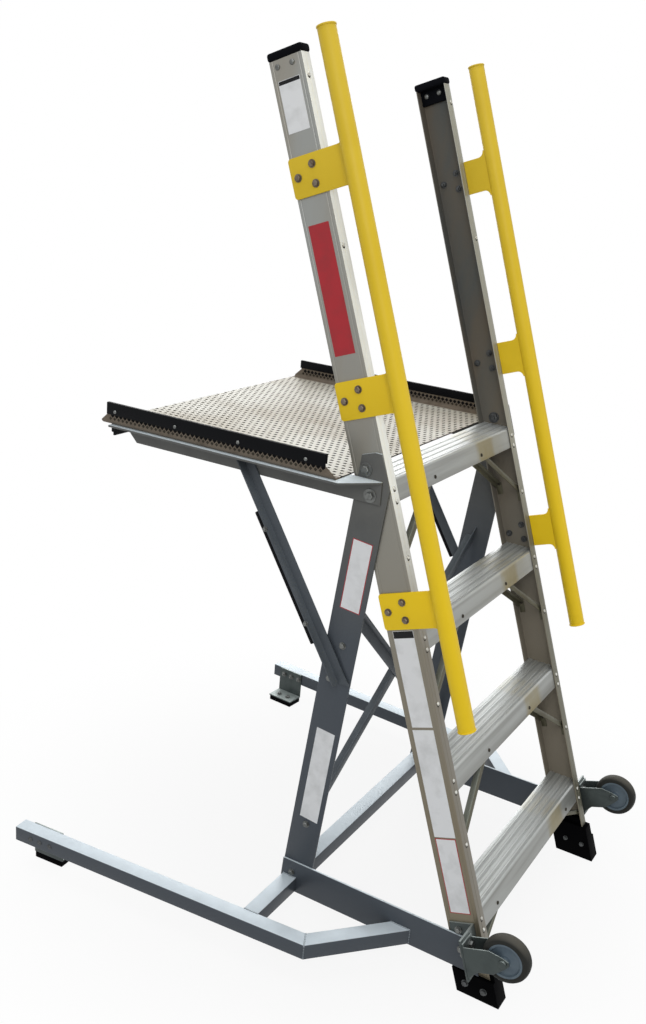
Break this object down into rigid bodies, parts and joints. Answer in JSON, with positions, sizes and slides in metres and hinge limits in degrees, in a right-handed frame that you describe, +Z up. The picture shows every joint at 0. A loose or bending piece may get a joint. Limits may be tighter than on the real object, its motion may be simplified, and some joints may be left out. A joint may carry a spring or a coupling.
{
  "type": "aircraft maintenance platform",
  "caption": "Leaning ladder with a small work deck on braced rear legs, yellow handrails, splayed outriggers and tilt-and-roll wheels.",
  "frame": {"origin": "floor level, at the middle of the overall box", "axes": "+X to the climber's right, +Y forward from the ladder towards the deck, +Z up"},
  "size_m": [1.2118, 1.2838, 2.0015],
  "materials": {
    "rail_aluminium": "mill extrusion, lightly dulled",
    "step_aluminium": "mill extrusion with a ribbed top",
    "black_cap": "moulded, satin",
    "black_foot": "moulded rubber",
    "yellow_paint": "gloss powder coat",
    "grey_paint": "satin powder coat",
    "black_edge": "extruded rubber edging",
    "zinc": "bright zinc plate",
    "deck_sheet": "perforated sheet, pale coat",
    "wheel_tyre": "grey-brown rubber",
    "wheel_hub": "blue-grey moulding"
  },
  "bodies": {
    "frame": {"left_rail": "rail_aluminium", "left_rail_cap": "black_cap", "left_ladder_foot": "black_foot", "left_handrail": "yellow_paint", "left_handrail_plugs": "yellow_paint", "left_handrail_plates": "yellow_paint", "left_rear_leg": "grey_paint", "left_side_angle": "grey_paint", "left_toe_strip": "black_edge", "left_platform_brace": "grey_paint", "left_brace_bumper": "black_edge", "left_base_beam": "grey_paint", "left_outrigger_tube": "grey_paint", "left_outrigger_link": "grey_paint", "left_outrigger_stub": "grey_paint", "left_outrigger_bracket": "zinc", "left_outrigger_pad": "black_foot", "left_caster_bracket": "zinc", "left_caster_fork": "zinc", "left_caster_axle": "zinc", "right_rail": "rail_aluminium", "right_rail_cap": "black_cap", "right_ladder_foot": "black_foot", "right_handrail": "yellow_paint", "right_handrail_plugs": "yellow_paint", "right_handrail_plates": "yellow_paint", "right_rear_leg": "grey_paint", "right_side_angle": "grey_paint", "right_toe_strip": "black_edge", "right_platform_brace": "grey_paint", "right_brace_bumper": "black_edge", "right_base_beam": "grey_paint", "right_outrigger_tube": "grey_paint", "right_outrigger_link": "grey_paint", "right_outrigger_stub": "grey_paint", "right_outrigger_bracket": "zinc", "right_outrigger_pad": "black_foot", "right_caster_bracket": "zinc", "right_caster_fork": "zinc", "right_caster_axle": "zinc", "step_1": "step_aluminium", "step_1_gussets": "step_aluminium", "step_2": "step_aluminium", "step_2_gussets": "step_aluminium", "step_3": "step_aluminium", "step_3_gussets": "step_aluminium", "step_4": "step_aluminium", "step_4_gussets": "step_aluminium", "platform_deck": "deck_sheet", "front_cross_angle": "grey_paint", "front_bumper": "black_edge", "rear_cross_tube": "grey_paint", "cross_brace_a": "grey_paint", "cross_brace_b": "grey_paint"},
    "left_wheel": {"left_wheel_tyre": "wheel_tyre", "left_wheel_hub": "wheel_hub"},
    "right_wheel": {"right_wheel_tyre": "wheel_tyre", "right_wheel_hub": "wheel_hub"}
  },
  "joints": [
    {"name": "left_wheel_spin", "type": "hinge", "parent": "frame", "child": "left_wheel", "pos_m": [-0.392, -0.58742, 0.17338], "axis": [1, 0, 0], "continuous": true},
    {"name": "right_wheel_spin", "type": "hinge", "parent": "frame", "child": "right_wheel", "pos_m": [0.392, -0.58742, 0.17338], "axis": [1, 0, 0], "continuous": true}
  ]
}
